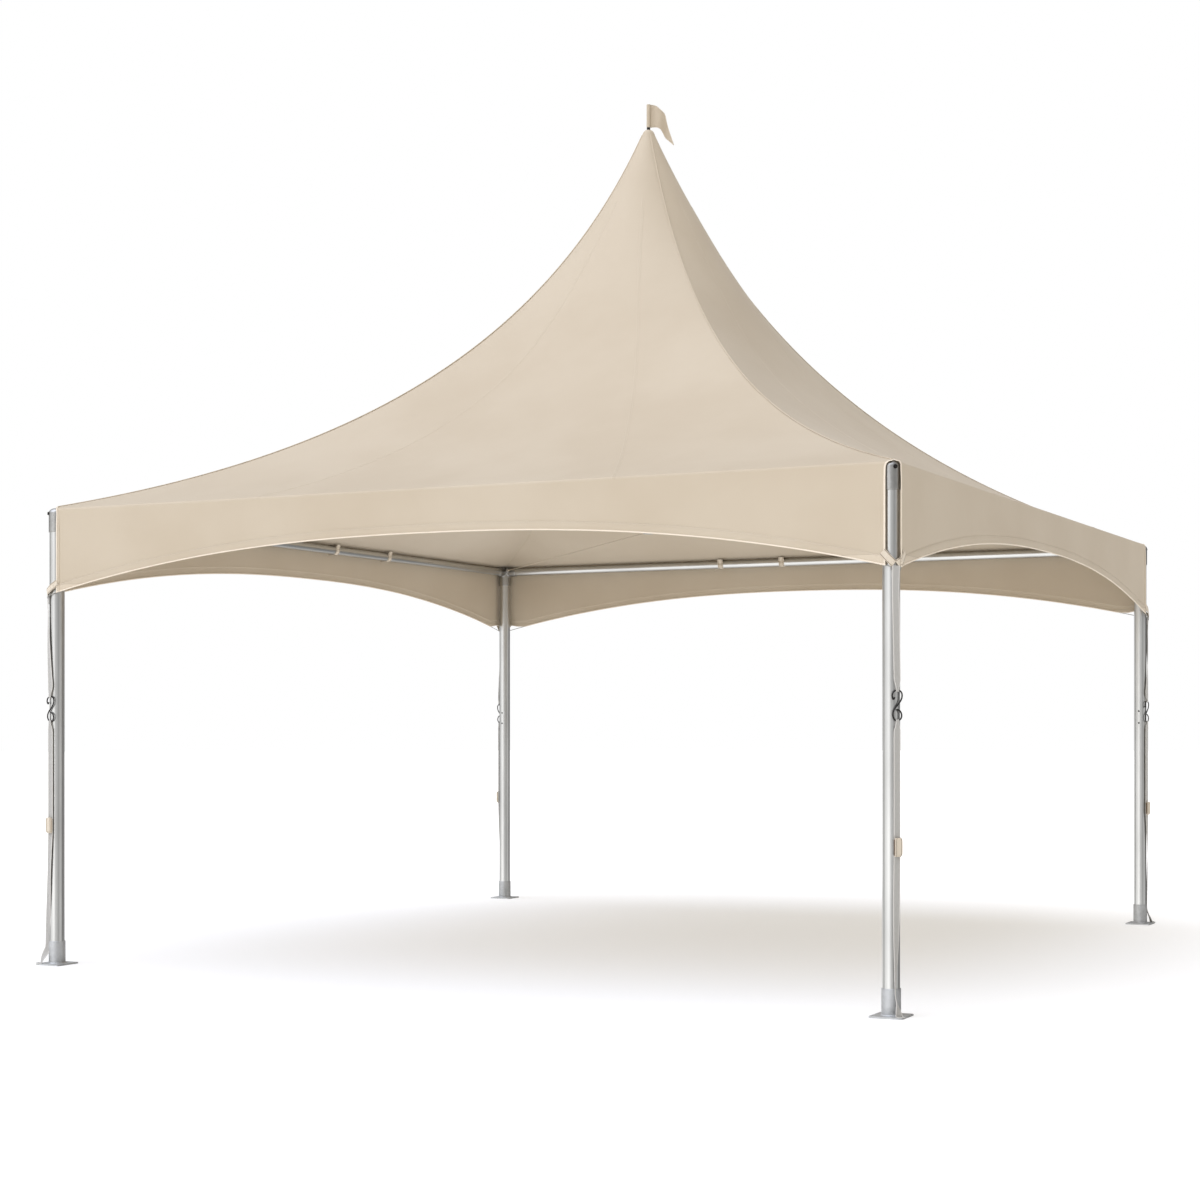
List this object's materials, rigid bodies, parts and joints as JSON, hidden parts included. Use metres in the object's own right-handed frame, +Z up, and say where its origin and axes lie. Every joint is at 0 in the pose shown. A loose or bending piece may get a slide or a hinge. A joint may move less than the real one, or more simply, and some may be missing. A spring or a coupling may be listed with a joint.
{
  "type": "pagoda tent",
  "caption": "Square high-peak frame tent with a fabric canopy, arched valances, round aluminium legs on base plates and a pennant at the peak.",
  "frame": {"origin": "on the ground, below the peak, midway between the four legs", "axes": "+X along the front side from left to right, +Y from the front side to the back, +Z up"},
  "size_m": [4.724, 4.724, 4.78],
  "materials": {
    "aluminium_tube": "drawn tube, satin",
    "cast_aluminium": "sand cast, lightly machined",
    "galvanised_steel": "hot-dip galvanised",
    "wire_rope": "galvanised wire rope",
    "dark_steel": "oiled dark steel wire",
    "canopy_fabric": "coated woven polyester, satin, sand colour",
    "webbing": "woven polyester webbing"
  },
  "bodies": {
    "root": {"base_plate_back_left": "galvanised_steel", "base_plate_back_right": "galvanised_steel", "base_plate_front_left": "galvanised_steel", "base_plate_front_right": "galvanised_steel", "corner_fitting_back_left": "cast_aluminium", "corner_fitting_back_right": "cast_aluminium", "corner_fitting_front_left": "cast_aluminium", "corner_fitting_front_right": "cast_aluminium", "cross_cable_1": "wire_rope", "cross_cable_2": "wire_rope", "eave_rail_back": "aluminium_tube", "eave_rail_front": "aluminium_tube", "eave_rail_left": "aluminium_tube", "eave_rail_right": "aluminium_tube", "flag": "canopy_fabric", "flagpole": "aluminium_tube", "hook_back_left": "dark_steel", "hook_back_right": "dark_steel", "hook_front_left": "dark_steel", "hook_front_right": "dark_steel", "king_pole": "aluminium_tube", "leg_back_left": "aluminium_tube", "leg_back_right": "aluminium_tube", "leg_front_left": "aluminium_tube", "leg_front_right": "aluminium_tube", "lower_strap_back_left": "webbing", "lower_strap_back_right": "webbing", "lower_strap_front_left": "webbing", "lower_strap_front_right": "webbing", "mast_foot": "cast_aluminium", "peak_cap": "canopy_fabric", "roof_panel_back": "canopy_fabric", "roof_panel_front": "canopy_fabric", "roof_panel_left": "canopy_fabric", "roof_panel_right": "canopy_fabric", "upper_strap_back_left": "webbing", "upper_strap_back_right": "webbing", "upper_strap_front_left": "webbing", "upper_strap_front_right": "webbing", "valance_back": "canopy_fabric", "valance_front": "canopy_fabric", "valance_left": "canopy_fabric", "valance_right": "canopy_fabric"}
  },
  "joints": []
}
